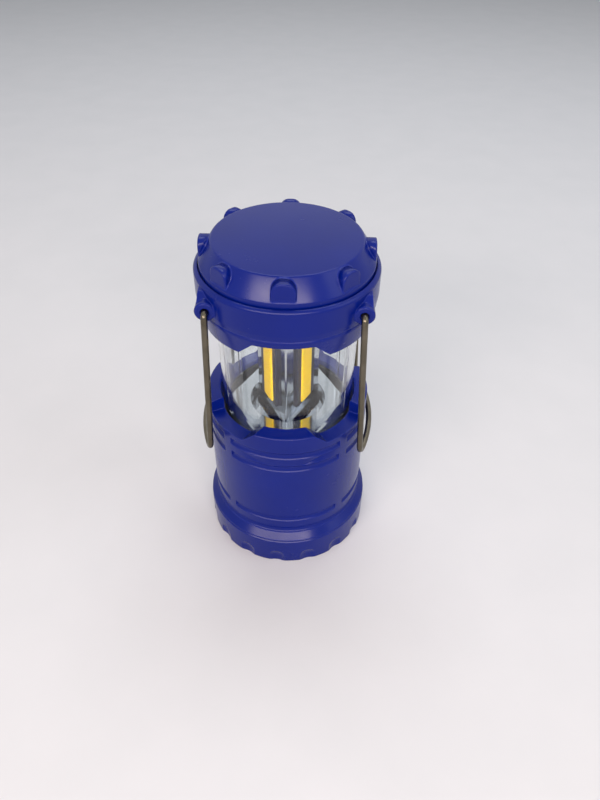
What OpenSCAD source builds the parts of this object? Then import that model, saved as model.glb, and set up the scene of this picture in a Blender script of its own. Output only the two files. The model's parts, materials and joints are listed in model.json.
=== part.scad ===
// Pop-up camping lantern. The head, with its clear chimney and three-sided light
// column, slides down into a round battery base, and two wire bails swing in its ears.
// Millimetres, +Z up, origin at the centre of the foot, front at -Y, head drawn up.

/* [Slide] */
// Travel of the head between closed and open
stroke = 36; // [33:0.5:36.5]
// Gap left between the closed head's tabs and the rim
closed_gap = 0.4; // [0.3:0.1:1]
// Gap left round a part that slides
slide_gap = 0.25; // [0.2:0.05:0.35]
// Depth of the open head's chimney below the rim
head_grip = 13.2; // [13:0.1:14]

/* [Bottom cover] */
// How far the cover stands out from the body
cover_proud = 2.45; // [2.4:0.05:4]
// Height of the bottom cover
cover_h = 12.4; // [12:0.2:16]
// Thickness of the cover's wall
cover_wall = 2.45; // [2.2:0.05:2.5]
// Thickness of the cover's floor
cover_floor = 2; // [1.6:0.1:2.4]
// Number of finger flutes round the cover
flute_count = 16; // [8:1:18]
// Width of a flute
flute_w = 6.5; // [5:0.1:8]
// Depth of a flute
flute_depth = 0.85; // [0.5:0.05:0.9]
// Azimuth of the first flute
flute_azimuth = 16.75; // [0:0.25:22.5]
// Turn that frees the cover
cover_turn = 30; // [28:1:35]

/* [Base] */
// Thickness of the base's wall
body_wall = 3; // [2.8:0.1:3.2]
// Width of the lip that reaches in under the rim
lip_w = 1.75; // [1.6:0.05:2]
// Gap between the rim and the closed head's chimney
lip_gap = 0.15; // [0.1:0.05:0.3]
// Drop from the raised to the low stretches of the rim
rim_drop = 4.3; // [4.1:0.1:4.5]
// Slope of the rim's top, up towards the chimney
rim_slope = 15; // [8:1:16]
// Radius of the round along the rim's edges
rim_edge_r = 0.7; // [0.3:0.1:0.9]
// Angle of the ramps at the ends of the front and rear stretches
ramp_angle = 43; // [40:1:50]
// Azimuth of the foot of such a ramp
ramp_azimuth = 30.5; // [28:0.5:33]
// Thickness of the web that parts the cells from the head's well
web_t = 2.8; // [2:0.1:3.5]
// Depth of the grooves round the body
groove_depth = 0.7; // [0.4:0.05:0.9]
// Height of the two upper grooves
upper_groove_h = 3.1; // [2.4:0.1:3.4]
// Height of the two lower grooves
lower_groove_h = 2.8; // [2:0.1:3]
// Azimuth at the middle of each plain upright band
band_azimuth = 44.5; // [40:0.5:50]
// Angle that a plain upright band spans
band_span = 7; // [4:0.5:10]

/* [Head] */
// How far the cap ring stands out from the base's body
ring_proud = 0.4; // [0.2:0.1:0.8]
// Height of the cap ring with its tabs
ring_h = 18.2; // [18:0.1:20]
// Radius of the round along the ring's shoulder
shoulder_r = 1.4; // [0.8:0.1:1.6]
// How far the foot of the ring's skirt lies inside the ring's face
skirt_inset = 1.7; // [1.4:0.1:2]
// Height of the skirt's front notch above the foot of the tabs
notch_h = 5.1; // [5:0.1:5.3]
// Radius of the rounds at the ends of the skirt's ramps
notch_round = 1.5; // [1:0.1:2]
// Azimuth where the side notch starts
side_notch_azimuth = 66; // [64:0.5:68]
// How far the dome's lower edge lies inside the ring's face
dome_inset = 1.7; // [1.6:0.1:2.2]
// How far the dome's flat top lies inside its lower edge
dome_run = 4.15; // [3:0.05:5]
// Height of the dome's cone
dome_h = 6.4; // [5:0.1:8]
// Thickness of the dome's wall
dome_wall = 1.8; // [1.4:0.1:2.2]
// Number of grip lugs round the dome
lug_count = 8; // [4:1:12]
// Width of a grip lug
lug_w = 7.1; // [5:0.1:8]
// How far a lug's outer face lies inside the dome's lower edge
lug_inset = 0.4; // [0.2:0.1:0.8]

/* [Chimney] */
// Widening of the chimney's radius over each millimetre of height
chimney_taper = 0.018; // [0.01:0.001:0.03]
// Thickness of the chimney's wall
chimney_wall = 1.3; // [1:0.1:1.5]
// Width of the outside key rib
key_w = 2.9; // [2:0.1:4]
// Height of the key rib above the chimney's wall
key_h = 0.55; // [0.3:0.05:0.6]

/* [Light] */
// Distance from the axis to a flat of the column
column_flat_r = 6.6; // [6:0.1:7.5]
// Radius of the rounds along the column's corners
column_round = 0.5; // [0.4:0.1:1.5]
// Width of a light board
board_w = 11.2; // [9:0.2:12]
// Width of a light strip
strip_w = 6.4; // [4:0.2:9]
// Thickness of the column's wall
column_wall = 0.9; // [0.7:0.05:1]
// Gap between the column's corners and the edge of the reflector's hole
hole_gap = 0.8; // [0.5:0.1:1.2]
// How far the corners of the reflector's six-sided top lie inside its skirt
reflector_inset = 0.4; // [0.3:0.1:2]
// Angle of the reflector's falling outer facets
reflector_fall = 45; // [30:1:55]

/* [Cells] */
// Diameter of a cell
cell_d = 10.5; // [10.3:0.1:10.5]
// Length of a cell with its button
cell_l = 44.5; // [43.5:0.5:45]
// Thickness of the cell holder's sleeves
holder_wall = 0.7; // [0.6:0.1:1]
// Room between the cell holder and the foot of the chimney
holder_room = 1.1; // [1:0.05:1.5]

/* [Bails] */
// Diameter of the bail wire
wire_d = 2.05; // [1.6:0.05:2.4]
// Length of a bail from its hinge to its bar
bail_l = 56.3; // [50:0.1:56.6]
// Distance from the middle plane to a bail's leg
leg_y = 22.2; // [21.8:0.1:24]
// Outward lean of a hanging bail
bail_lean = 2.5; // [2.4:0.1:4]
// Radius of a bail's lower corners
bail_corner_r = 4; // [3:0.5:6]
// Radius of a bail's bar, seen from above
bail_bar_r = 58; // [50:1:58]
// Diameter of an ear's barrel
ear_d = 6.3; // [5:0.1:6.6]
// Radial clearance of the wire in its hole
ear_clearance = 0.1; // [0.05:0.01:0.2]
// How far a hinge axis lies inside the ring's face
hinge_inset = 5.7; // [5.4:0.05:6]
// Height of the hinge axes above the foot of the tabs
hinge_h = 11.9; // [11:0.1:12.2]

/* [Hidden] */
$fn = 96;

// Azimuths are turned from the front, positive towards +X.
thirds = [0, 120, 240];
flat_azimuths = [60, 180, 300];
cut = 0.5;                  // how far a cutting solid runs past a face
seat_gap = 0.1;             // play between pieces of one body
bare_edge = 0.2;            // least width left round a screw's head

// Screws.
screw_d = 2;
screw_head_d = 3.8;
screw_head_h = 1.3;
screw_grip = 3.5;
boss_r = 2.4;

// Heights of the base, from the foot up: the cells set how high the reflector stands,
// the reflector sets the rim, and the rim sets the foot of the open head's chimney.
joint_gap = 0.2;
base_z = cover_h + joint_gap;
web_top = base_z + web_t;
flare_foot_h = 0.5;
flare_h = 2.9;
flare_top = base_z + flare_h;
spring_room = 4.5;          // between the cover's floor and the cells
cell_z = cover_floor + spring_room;
cell_top = cell_z + cell_l;
plate_t = 0.4;
holder_cap_z = cell_top + plate_t + seat_gap;
holder_cap_t = 2.4;
holder_cap_top = holder_cap_z + holder_cap_t;
post_h = 6.1;               // from the holder's cap to the reflector's top
reflector_z = holder_cap_top + post_h;
reflector_depth = 5.2;      // of the reflector's top below the rim
rim_z = reflector_z + reflector_depth;
low_rim_z = rim_z - rim_drop;
chimney_foot_z = rim_z - head_grip;

// Three-sided light column, and the well that it slides in.
board_t = 0.9;
strip_t = 0.55;
column_vertex_r = 2 * column_flat_r - column_round;
column_hollow_round = 0.3;
column_overhang = 6;        // of the column below the chimney's foot
column_foot_z = chimney_foot_z - column_overhang;
well_flat_r = column_flat_r + board_t + strip_t + slide_gap;
well_vertex_r = column_vertex_r + slide_gap;
well_round = 2 * well_flat_r - well_vertex_r;

// Cells stand outside the flats of the well.
cell_play = 0.1;
cell_bore_r = cell_d / 2 + cell_play;
cell_ring_r = well_flat_r + holder_wall + cell_bore_r;
holder_r = cell_ring_r + cell_bore_r + holder_wall;
button_d = 3.8;
button_h = 1;
sleeve_play = 0.05;
plate_inset = 1.6;
plate_r = cell_d / 2 - plate_inset;
strap_w = 1.6;
strap_room = 0.35;
strap_r = well_vertex_r + holder_wall + strap_w / 2 + strap_room;
bare_foot_h = 1.5;          // of a cell below its sleeve
holder_foot_z = cell_z + bare_foot_h;
cap_overhang = 0.2;
holder_cap_r = holder_r + cap_overhang;
holder_flange_t = 2;
web_hole_gap = 0.2;
web_hole_r = holder_cap_r + web_hole_gap;
screw_edge = 1.1;           // from the web's hole to a holder screw
holder_screw_r = web_hole_r + screw_d / 2 + screw_edge;
holder_flange_r = holder_screw_r + screw_head_d / 2;
holder_screw_skin = 0.6;    // of the web left over a holder screw
holder_screw_grip = web_t - holder_screw_skin;

// Radii of the chimney, the rim and what stands round them.
chimney_foot_r = holder_r + holder_room + chimney_wall;
rim_inner_r = chimney_r(rim_z + stroke) + lip_gap;
bore_r = rim_inner_r + lip_w;
body_r = bore_r + body_wall;
cover_r = body_r + cover_proud;
ring_r = body_r + ring_proud;
flare_r = cover_r - 0.15;
low_rim_slope = 4;
ramp_foot_round = 0.5;
ramp_root_r = 12;
ramp_round_steps = 5;
ramp_sink = 0.15;           // how far a ramp's foot runs out below the edge it meets
side_wall_play = 1;         // degrees between a side notch and the rim's raised side
upper_groove_drops = [8, 14.2];
lower_groove_rise = 10.95;
lower_groove_z = base_z + lower_groove_rise;
foot_groove_land = 0.4;
foot_groove_z = flare_top + foot_groove_land + lower_groove_h / 2;

// Spigot, seal and bayonet.
spigot_r = cover_r - cover_wall - 0.4;
spigot_inner_r = spigot_r - 1.3;
collar_inner_r = spigot_r - 2.2;
collar_h = 4;
collar_foot_z = base_z - collar_h;
seal_d = 1.4;
seal_r = spigot_r + 0.35 - seal_d / 2;
seal_z = base_z - 1.8;
ledge_t = 1.8;
ledge_inner_r = spigot_inner_r - 1.9;
ledge_span = cover_turn - 2;
lug_span = cover_turn - 6;
bayonet_gap = 0.3;          // between the cover's bayonet and what is over or under it
bayonet_top = base_z - holder_flange_t - screw_head_h - bayonet_gap;
bayonet_z = bayonet_top - 0.9 - ledge_t;
bayonet_wall_r = ledge_inner_r - 0.6;
bayonet_wall = 2;
ledge_z = bayonet_z - bayonet_gap - ledge_t;
spigot_foot_z = ledge_z - 0.6;
foot_recess_r = cover_r - 5;
foot_recess = 0.6;
cover_edge = 0.5;

// Reflector on three posts that stand on the holder's cap.
reflector_t = 1.2;
reflector_h = 4.5;
reflector_skirt_r = chimney_foot_r - chimney_wall - slide_gap;
reflector_corner_r = reflector_skirt_r - reflector_inset;
hole_r = column_vertex_r + hole_gap;
hole_collar_wall = 1;
hole_collar_h = 5;
post_r = 1.8;
post_ring_r = hole_r + hole_collar_wall + post_r + seat_gap;
stake_d = 2;
stake_l = 2;

// Head, from the foot of the tabs up.
tab_z = low_rim_z + closed_gap + stroke;
waist_z = tab_z + 6.5;
waist_r = ring_r - 0.4;
skirt_r = ring_r - skirt_inset;
crease_z = tab_z + 7.7;
crease_depth = 0.45;
crease_h = 0.5;
ring_wall_z = crease_z + 2;
ring_top = tab_z + ring_h;
ring_web_t = 2;
ring_web_z = ring_top - 2.5 - ring_web_t;
ring_web_top = ring_web_z + ring_web_t;
dome_r = ring_r - dome_inset;
dome_top_r = dome_r - dome_run;
dome_gap = 0.35;
dome_socket_r = dome_r + dome_gap;
skirt_inner_r = ring_r - 3.8;
hinge_x = ring_r - hinge_inset;
hinge_z = tab_z + hinge_h;
dome_z = ring_top + 1.5;
dome_top = dome_z + dome_h;
dome_edge_r = 0.8;
lug_top = dome_top - 0.45;
lug_foot = dome_z + 0.6;
lug_round = 3;
lug_face_r = dome_r - lug_inset;
lug_root_r = dome_top_r - 4;

// Chimney between the ring's web and its stop flange in the well.
chimney_top = ring_web_z;
chimney_l = chimney_top - chimney_foot_z;
chimney_top_r = chimney_foot_r + chimney_taper * chimney_l;
stop_r = bore_r - slide_gap - 0.15;
stop_t = 1.2;
band_h = 5.5;
band_play = 0.2;
lip_z = chimney_foot_z + stop_t + band_h + 0.3;
key_point_h = 2.5;
key_foot_z = rim_z - 3.5;
inner_rib_azimuths = [60, 120, 240, 300];
inner_rib_w = 1.4;
inner_rib_h = 0.5;
inner_rib_foot_r = chimney_foot_r - chimney_wall - inner_rib_h;

// Column ceiling, light boards and the screws of the head.
ceiling_t = 2;
ceiling_z = ring_web_z - 0.5;
cap_screw_r = chimney_top_r - chimney_wall - inner_rib_h - bare_edge - screw_head_d / 2;
ceiling_r = cap_screw_r - screw_head_d / 2 - bare_edge;
ring_web_inner_r = ceiling_r + 0.3;
column_screw_inset = 3.4;
column_screw_r = ceiling_r - column_screw_inset;
board_z = reflector_z + 2;
board_l = ceiling_z - 2 - board_z;
strip_end_gap = 0.6;

// Contacts between the sliding column and the holder's well.
rail_w = 1.6;
rail_t = 0.3;
rail_x = board_w / 2 + 0.4 + rail_w / 2;
rail_r = well_flat_r - 0.02;
rail_z = holder_foot_z + 1;
rail_top = holder_cap_z - seat_gap;
finger_w = 1.3;
finger_t = 0.25;
finger_z = column_foot_z + 1;
finger_h = 4;
finger_reach = rail_r - rail_t - 0.1;

// Bails.
pin_depth = 4.2;
ear_face_y = leg_y - 1.4;
ear_root_y = 8;
ear_edge = 0.4;
ear_mouth_d = 2.8;
ear_mouth_depth = 0.5;
neck_h = 4.6;
neck_foot_h = 1.2;
neck_slope = 40;
neck_narrowing = 0.45;
bail_bend_r = leg_y - ear_face_y;
bar_half_angle = asin(leg_y / norm([bail_bar_r, bail_corner_r])) - atan(bail_corner_r / bail_bar_r);
bar_centre_x = bail_corner_r * sin(bar_half_angle) - bail_bar_r * cos(bar_half_angle);
corner_thinning = 0.03;     // the wire draws thinner where a corner is bent
wire_overlap = 0.1;         // how far the straight and the bar run into a corner

// Springs under the cells.
spring_wire_d = 0.6;
spring_foot_r = 3.6;
spring_top_r = 2.2;
spring_turns = 4;
spring_steps = 14;
spring_sides = 6;
spring_z = cover_floor + plate_t + spring_wire_d / 2 + 0.02;
spring_h = cell_z - seat_gap - spring_wire_d / 2 - spring_z;

// A point at radius r and azimuth a on the plan.
function polar(r, a) = [r * sin(a), -r * cos(a)];

// Outer radius of the chimney at height z.
function chimney_r(z) = chimney_foot_r + chimney_taper * (z - chimney_foot_z);

// Height of the rim's raised top at radius r.
function rim_top(r) = rim_z + (body_r - r) * tan(rim_slope);

// Children drawn at the front are turned to azimuth a.
module at_azimuth(a) {
    rotate([0, 0, a]) children();
}

// Wedge from azimuth a to azimuth b that reaches past radius r.
module wedge(a, b, r, z, h) {
    steps = 8;
    translate([0, 0, z])
        linear_extrude(h)
            polygon([[0, 0], for (i = [0:steps]) polar(r * 1.2, a + (b - a) * i / steps)]);
}

// Flat ring between two radii.
module ring(outer_r, inner_r, z, h) {
    translate([0, 0, z])
        difference() {
            cylinder(h = h, r = outer_r);
            translate([0, 0, -cut]) cylinder(h = h + 2 * cut, r = inner_r);
        }
}

// Pan-head screw with a cross recess: its head hangs below z and its shank runs up.
module screw(x, y, z, length) {
    recess_w = 0.6;
    translate([x, y, z]) {
        cylinder(h = length, d = screw_d);
        difference() {
            translate([0, 0, -screw_head_h]) cylinder(h = screw_head_h, d = screw_head_d);
            for (turn = [0, 90])
                rotate([0, 0, turn])
                    translate([-screw_head_d / 4, -recess_w / 2, -screw_head_h - cut])
                        cube([screw_head_d / 2, recess_w, cut + screw_head_h / 2]);
        }
    }
}

// Three like screws at radius r, the first at azimuth a.
module screw_ring(r, a, z, length) {
    for (third = thirds) {
        place = polar(r, a + third);
        screw(place.x, place.y, z, length);
    }
}

// Three upright holes for the shanks of such screws.
module screw_holes(r, a, z, h) {
    for (third = thirds) {
        place = polar(r, a + third);
        translate([place.x, place.y, z]) cylinder(h = h, d = screw_d + 2 * seat_gap);
    }
}

// Rounded triangle with corners towards the thirds.
module round_triangle(flat_r, round_r) {
    corner_ring_r = 2 * (flat_r - round_r);
    polygon([
        for (third = thirds, side = [-60, 60])
            polar(corner_ring_r, third) + polar(round_r, third + side)
    ]);
    for (third = thirds)
        translate(polar(corner_ring_r, third)) circle(r = round_r);
}

// Outline of what lies under a ramp that climbs from its foot at the origin towards -X,
// rounded in at its foot and off at its top.
module ramp(height, round_r) {
    lead = round_r * tan(ramp_angle / 2);
    run = height / tan(ramp_angle);
    turns = [for (i = [0:ramp_round_steps]) ramp_angle * i / ramp_round_steps];
    polygon([
        [-cover_r, -cut], [lead, -cut],
        for (turn = turns)
            [lead - round_r * sin(turn), round_r - round_r * cos(turn)],
        for (turn = turns)
            [
                round_r * sin(ramp_angle - turn) - run - lead,
                height - round_r + round_r * cos(ramp_angle - turn)
            ],
        [-cover_r, height]
    ]);
}

// Block under the right front ramp, whose foot lies at height z.
module ramp_block(z, height, round_r) {
    at_azimuth(ramp_azimuth)
        translate([0, -ramp_root_r, z - ramp_sink])
            rotate([90, 0, 0]) linear_extrude(cover_r) ramp(height + ramp_sink, round_r);
}

// What lies between the ramps in front and at the rear, from z up to that height.
module between_ramps(z, height, round_r) {
    for (end = [0, 180])
        at_azimuth(end)
            intersection() {
                ramp_block(z, height, round_r);
                mirror([1, 0, 0]) ramp_block(z, height, round_r);
            }
}

// ---- Head ----

module grip_lug() {
    h = lug_top - lug_foot;
    translate([0, -lug_root_r, lug_foot])
        rotate([90, 0, 0])
            linear_extrude(lug_face_r - lug_root_r) {
                translate([-lug_w / 2, 0]) square([lug_w, h - lug_round]);
                translate([lug_round - lug_w / 2, 0]) square([lug_w - 2 * lug_round, h]);
                for (side = [-1, 1])
                    translate([side * (lug_w / 2 - lug_round), h - lug_round]) circle(r = lug_round);
            }
}

module dome_skin() {
    rotate_extrude() {
        polygon([
            [0, ring_web_top], [dome_r, ring_web_top], [dome_r, dome_z],
            [dome_top_r + dome_edge_r / 4, dome_top - dome_edge_r / 2],
            [dome_top_r - dome_edge_r / 2, dome_top], [0, dome_top]
        ]);
    }
}

module top_cap() {
    roof_z = dome_top - dome_wall;
    hollow_r = dome_r - dome_wall;
    color("#24348f")
        difference() {
            union() {
                difference() {
                    dome_skin();
                    rotate_extrude()
                        polygon([
                            [0, ring_web_top - cut], [hollow_r, ring_web_top - cut], [hollow_r, dome_z],
                            [dome_top_r - dome_wall, roof_z], [0, roof_z]
                        ]);
                }
                intersection() {
                    union() {
                        for (i = [0:lug_count - 1])
                            at_azimuth(i * 360 / lug_count) grip_lug();
                    }
                    ring(lug_face_r + cut, lug_root_r, lug_foot - cut, dome_h + 2 * cut);
                }
                for (third = thirds) {
                    column_boss = polar(column_screw_r, third + 60);
                    cap_boss = polar(cap_screw_r, third);
                    translate([column_boss.x, column_boss.y, ceiling_z + ceiling_t])
                        cylinder(h = roof_z - ceiling_z - ceiling_t + cut, r = boss_r);
                    translate([cap_boss.x, cap_boss.y, ring_web_top])
                        cylinder(h = roof_z - ring_web_top + cut, r = boss_r);
                }
            }
            screw_holes(column_screw_r, 60, ceiling_z, ceiling_t + screw_grip + seat_gap);
            screw_holes(cap_screw_r, 0, ring_web_z, ring_web_t + screw_grip + seat_gap);
        }
}

module ring_skin() {
    rotate_extrude() {
        polygon([
            [0, tab_z], [skirt_r, tab_z], [waist_r, waist_z], [waist_r, crease_z - crease_h],
            [waist_r + 0.15 - crease_depth, crease_z], [ring_r - 0.2, crease_z + crease_h / 2],
            [ring_r, ring_wall_z], [ring_r, ring_top - shoulder_r],
            [ring_r - shoulder_r, ring_top - shoulder_r], [ring_r - shoulder_r, ring_top], [0, ring_top]
        ]);
        translate([ring_r - shoulder_r, ring_top - shoulder_r]) circle(r = shoulder_r);
    }
}

// One bail ear on the +X side in front: a barrel that stands out from the ring's wall,
// with a narrowing neck behind it that slopes up to the ring's shoulder.
module ear() {
    barrel_l = ear_face_y - ear_root_y;
    foot_half_w = ear_d / 2 - neck_narrowing;
    top_half_w = foot_half_w - neck_narrowing;
    neck_face_y = ear_face_y - ear_edge;
    translate([hinge_x, 0, hinge_z]) {
        translate([0, -ear_root_y, 0])
            rotate([90, 0, 0])
                rotate_extrude()
                    polygon([
                        [0, 0], [ear_d / 2, 0], [ear_d / 2, barrel_l - ear_edge],
                        [ear_d / 2 - ear_edge, barrel_l], [0, barrel_l]
                    ]);
        intersection() {
            rotate([90, 0, 0])
                linear_extrude(ear_face_y)
                    polygon([
                        [-foot_half_w, 0], [foot_half_w, 0], [top_half_w, neck_h], [-top_half_w, neck_h]
                    ]);
            translate([-ear_d / 2, 0, 0])
                rotate([90, 0, 90])
                    linear_extrude(ear_d)
                        polygon([
                            [-ear_root_y, 0], [-neck_face_y, 0], [-neck_face_y, neck_foot_h],
                            [(neck_h - neck_foot_h) / tan(neck_slope) - neck_face_y, neck_h],
                            [-ear_root_y, neck_h]
                        ]);
        }
    }
}

// Blind hole for a bail's pin, with a wider mouth.
module ear_hole() {
    translate([hinge_x, -ear_face_y, hinge_z])
        rotate([-90, 0, 0]) {
            translate([0, 0, -cut])
                cylinder(h = pin_depth + seat_gap + cut, d = wire_d + 2 * ear_clearance);
            translate([0, 0, -cut]) cylinder(h = ear_mouth_depth + cut, d = ear_mouth_d);
        }
}

module cap_ring() {
    bore_z = waist_z + 0.8;
    color("#24348f")
        difference() {
            union() {
                ring_skin();
                for (side_x = [0, 1], side_y = [0, 1])
                    mirror([side_x, 0, 0]) mirror([0, side_y, 0]) ear();
            }
            translate([0, 0, ring_web_top]) cylinder(h = ring_h, r = dome_socket_r);
            translate([0, 0, ring_web_z - cut]) cylinder(h = ring_h, r = ring_web_inner_r);
            translate([0, 0, tab_z - cut]) cylinder(h = bore_z - tab_z + cut, r = skirt_inner_r);
            rotate_extrude()
                polygon([
                    [0, bore_z - cut], [chimney_r(bore_z - cut) + seat_gap, bore_z - cut],
                    [chimney_r(ring_web_z) + seat_gap, ring_web_z], [0, ring_web_z]
                ]);
            for (side = [0, 180])
                at_azimuth(side)
                    translate([-key_w / 2 - seat_gap, -chimney_top_r - key_h - 2 * seat_gap, tab_z])
                        cube([key_w + 2 * seat_gap, chimney_top_r, ring_web_z - tab_z]);
            between_ramps(tab_z, notch_h, notch_round);
            for (side = [90, 270])
                wedge(side_notch_azimuth - 90 + side, 90 - side_notch_azimuth + side, ring_r,
                    tab_z - cut, notch_h + cut);
            for (side_x = [0, 1], side_y = [0, 1])
                mirror([side_x, 0, 0]) mirror([0, side_y, 0]) ear_hole();
            screw_holes(cap_screw_r, 0, ring_web_z - cut, ring_web_t + 2 * cut);
        }
}

// Outside rib with a pointed foot that slides in the rim's notch.
module key_rib() {
    intersection() {
        rotate_extrude()
            polygon([
                [chimney_r(key_foot_z) - 0.3, key_foot_z], [chimney_r(key_foot_z) + key_h, key_foot_z],
                [chimney_top_r + key_h, chimney_top], [chimney_top_r - 0.3, chimney_top]
            ]);
        rotate([90, 0, 0])
            linear_extrude(ring_r)
                polygon([
                    [0, key_foot_z], [key_w / 2, key_foot_z + key_point_h], [key_w / 2, chimney_top + cut],
                    [-key_w / 2, chimney_top + cut], [-key_w / 2, key_foot_z + key_point_h]
                ]);
    }
}

module chimney() {
    foot_inner_r = chimney_foot_r - chimney_wall;
    top_inner_r = chimney_top_r - chimney_wall;
    color("#dfe8ee", 0.35) {
        rotate_extrude()
            polygon([
                [foot_inner_r, chimney_foot_z], [stop_r, chimney_foot_z],
                [stop_r, chimney_foot_z + stop_t],
                [chimney_r(chimney_foot_z + stop_t), chimney_foot_z + stop_t],
                [chimney_top_r, chimney_top], [top_inner_r, chimney_top]
            ]);
        for (side = [0, 180])
            at_azimuth(side) key_rib();
        for (azimuth = inner_rib_azimuths)
            intersection() {
                rotate_extrude()
                    polygon([
                        [inner_rib_foot_r, chimney_foot_z], [foot_inner_r + 0.3, chimney_foot_z],
                        [top_inner_r + 0.3, chimney_top], [top_inner_r - inner_rib_h, chimney_top]
                    ]);
                at_azimuth(azimuth)
                    translate([-inner_rib_w / 2, -ring_r, reflector_z + 1])
                        cube([inner_rib_w, ring_r, chimney_l]);
            }
    }
}

module light_column() {
    hollow_flat_r = column_flat_r - column_wall;
    column_l = ceiling_z - column_foot_z;
    color("#c9ccd2")
        difference() {
            union() {
                translate([0, 0, column_foot_z])
                    linear_extrude(column_l + cut) round_triangle(column_flat_r, column_round);
                translate([0, 0, ceiling_z]) cylinder(h = ceiling_t, r = ceiling_r);
            }
            translate([0, 0, column_foot_z - cut])
                linear_extrude(column_l + cut) round_triangle(hollow_flat_r, column_hollow_round);
            screw_holes(column_screw_r, 60, ceiling_z - cut, ceiling_t + 2 * cut);
        }
}

module led_board(azimuth) {
    color("#3a3a34")
        at_azimuth(azimuth)
            translate([-board_w / 2, -column_flat_r - board_t, board_z])
                cube([board_w, board_t, board_l]);
}

module led_strip(azimuth) {
    color("#ffd92e")
        at_azimuth(azimuth)
            translate([-strip_w / 2, -column_flat_r - board_t - strip_t, board_z + strip_end_gap])
                cube([strip_w, strip_t, board_l - 2 * strip_end_gap]);
}

// Leaf spring beside the right board's foot that bulges out to its rail.
module contact_finger() {
    color("#c8a24a")
        at_azimuth(60)
            translate([rail_x - finger_w / 2, 0, 0])
                rotate([90, 0, 90])
                    linear_extrude(finger_w)
                        polygon([
                            [-column_flat_r, finger_z], [-column_flat_r, finger_z + finger_h],
                            [-column_flat_r - finger_t, finger_z + finger_h],
                            [-column_flat_r - finger_t, finger_z + finger_t],
                            [-finger_reach + finger_t, finger_z + finger_t],
                            [-finger_reach + finger_t, finger_z + finger_h - 1],
                            [-finger_reach, finger_z + finger_h - 1], [-finger_reach, finger_z]
                        ]);
}

module friction_band() {
    band_z = chimney_foot_z + stop_t;
    color("#2b2b2b")
        ring(bore_r - band_play, chimney_r(band_z + band_h) + seat_gap, band_z, band_h);
}

module cap_screws() {
    color("#9a9a9a") screw_ring(cap_screw_r, 0, ring_web_z, ring_web_t + screw_grip);
}

module column_screws() {
    color("#9a9a9a") screw_ring(column_screw_r, 60, ceiling_z, ceiling_t + screw_grip);
}

// ---- Bails ----

// Quarter bend of a wire of diameter d, from +X towards +Y.
module wire_bend(bend_r, d) {
    rotate_extrude(angle = 90) translate([bend_r, 0]) circle(d = d);
}

// Front half of a bail, in its own frame: hinge axis along Y at the origin, hanging down.
module bail_half() {
    corner_z = bail_corner_r - bail_l;
    bar_end = [bar_centre_x + bail_bar_r * cos(bar_half_angle), bail_bar_r * sin(bar_half_angle)];
    translate([0, ear_face_y - pin_depth, 0])
        rotate([-90, 0, 0]) cylinder(h = pin_depth, d = wire_d);
    translate([0, ear_face_y, -bail_bend_r])
        rotate([0, 0, 90]) rotate([90, 0, 0]) wire_bend(bail_bend_r, wire_d);
    translate([0, leg_y, corner_z - wire_overlap])
        cylinder(h = wire_overlap - bail_bend_r - corner_z, d = wire_d);
    translate([bar_end.x, bar_end.y, corner_z])
        rotate([0, 0, 90 + bar_half_angle])
            rotate([-90, 0, 0]) wire_bend(bail_corner_r, wire_d - corner_thinning);
}

module bail() {
    bar_half_span = bar_half_angle + atan(wire_overlap / bail_bar_r);
    translate([hinge_x, 0, hinge_z])
        rotate([0, -bail_lean, 0]) {
            bail_half();
            mirror([0, 1, 0]) bail_half();
            translate([bar_centre_x, 0, -bail_l])
                rotate([0, 0, -bar_half_span])
                    rotate_extrude(angle = 2 * bar_half_span) translate([bail_bar_r, 0]) circle(d = wire_d);
        }
}

module handle_right() {
    color("#8f887c") bail();
}

module handle_left() {
    color("#8f887c") mirror([1, 0, 0]) bail();
}

// ---- Base ----

// Ring-shaped cutter for a hollow groove of chord h and the common depth.
module groove_ring(z, h) {
    arc_r = (pow(h / 2, 2) + pow(groove_depth, 2)) / (2 * groove_depth);
    translate([0, 0, z])
        rotate_extrude() translate([body_r + arc_r - groove_depth, 0]) circle(r = arc_r);
}

module grooves() {
    difference() {
        union() {
            for (drop = upper_groove_drops) groove_ring(rim_z - drop, upper_groove_h);
            groove_ring(lower_groove_z, lower_groove_h);
        }
        for (side = [-1, 1], end = [0, 180])
            wedge(end + side * band_azimuth - band_span / 2, end + side * band_azimuth + band_span / 2,
                cover_r, flare_top, rim_z - flare_top);
    }
    groove_ring(foot_groove_z, lower_groove_h);
}

// Height of the centre of an edge round at radius r, touching the sloped top.
function edge_centre_z(r) = rim_top(r) - rim_edge_r / cos(rim_slope);

// Outline of the rim's wall: sloped top with both edges rounded.
module rim_outline() {
    outer_x = body_r - rim_edge_r;
    inner_x = rim_inner_r + rim_edge_r;
    lift = [rim_edge_r * sin(rim_slope), rim_edge_r * cos(rim_slope)];
    polygon([
        [bore_r, base_z], [flare_r, base_z], [flare_r, base_z + flare_foot_h], [body_r, flare_top],
        [body_r, edge_centre_z(outer_x)], [outer_x, edge_centre_z(outer_x)] + lift,
        [inner_x, edge_centre_z(inner_x)] + lift, [rim_inner_r, edge_centre_z(inner_x)],
        [rim_inner_r, lip_z], [bore_r, lip_z]
    ]);
    for (x = [outer_x, inner_x])
        translate([x, edge_centre_z(x)]) circle(r = rim_edge_r);
}

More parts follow.
